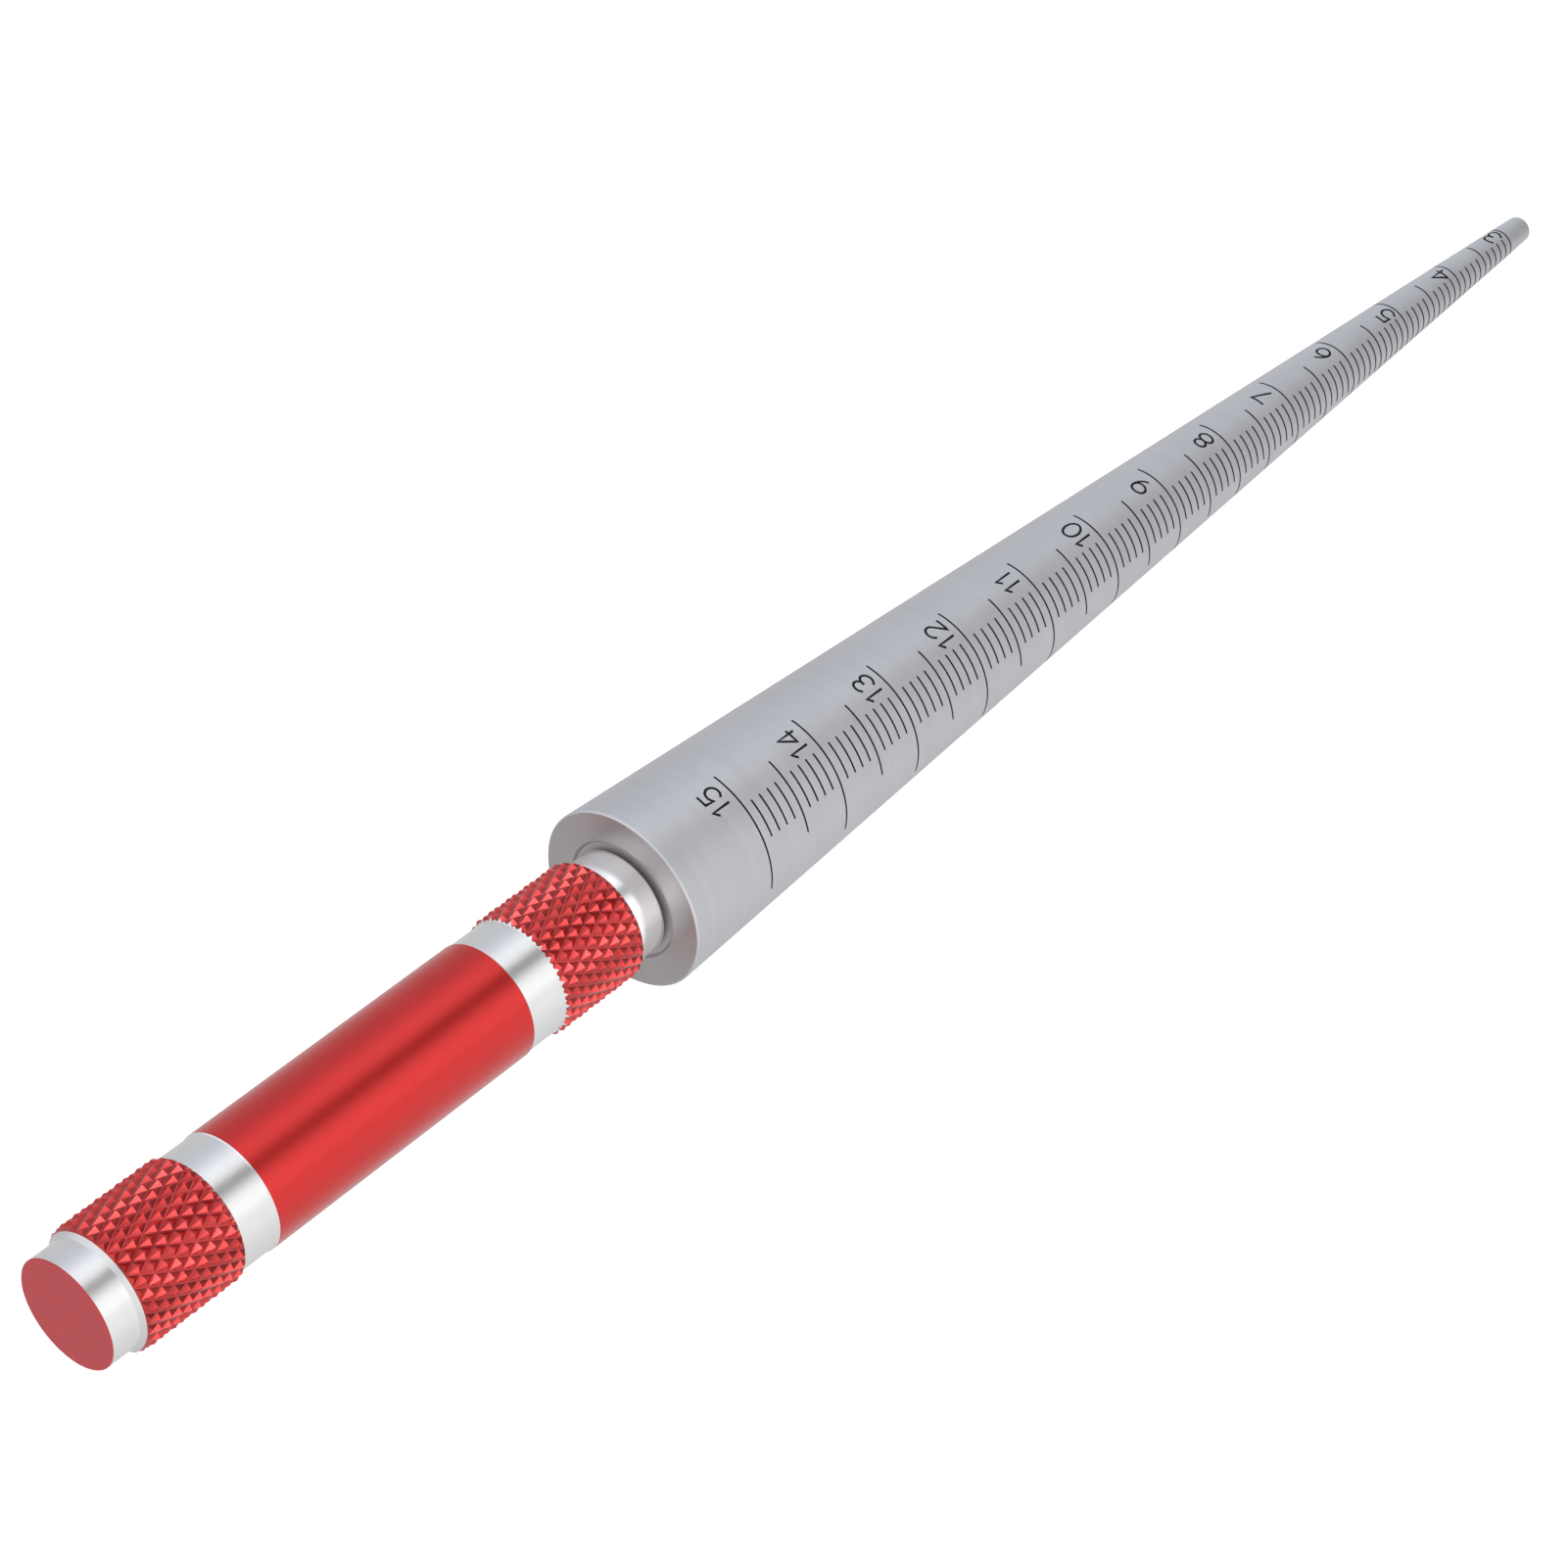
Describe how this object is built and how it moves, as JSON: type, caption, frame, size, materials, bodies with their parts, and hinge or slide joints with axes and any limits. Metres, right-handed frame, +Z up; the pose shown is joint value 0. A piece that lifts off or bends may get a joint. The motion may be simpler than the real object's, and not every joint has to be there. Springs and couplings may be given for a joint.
{
  "type": "taper bore gauge",
  "caption": "Round steel taper gauge with a diameter scale along its cone, on a banded and knurled aluminium handle that a hidden stud screws into its large end.",
  "frame": {"origin": "centre of the handle's flat end face", "axes": "+X along the gauge's axis towards the small tip, +Z up with the gauge lying level; the scale faces -Y and up"},
  "size_m": [0.1922, 0.016, 0.016],
  "materials": {
    "gauge_steel": "satin",
    "anodised_red": "satin",
    "bright_aluminium": "satin",
    "stud_steel": "satin",
    "scale_marking": "matte"
  },
  "bodies": {
    "handle": {"handle": "anodised_red"},
    "stud": {"joining_stud": "stud_steel"},
    "gauge": {"gauge_cone": "gauge_steel"}
  },
  "joints": [
    {"name": "stud_draw", "type": "slide", "parent": "handle", "child": "stud", "axis": [1, 0, 0], "range_m": [0, 0.009]},
    {"name": "cone_unscrew", "type": "hinge", "parent": "stud", "child": "gauge", "pos_m": [0.0587, 0, 0], "axis": [1, 0, 0], "range_deg": [0, 3240]}
  ],
  "couplings": [
    {"joint": "cone_unscrew", "follows": "stud_draw", "rad_per_m": 6283.2}
  ]
}
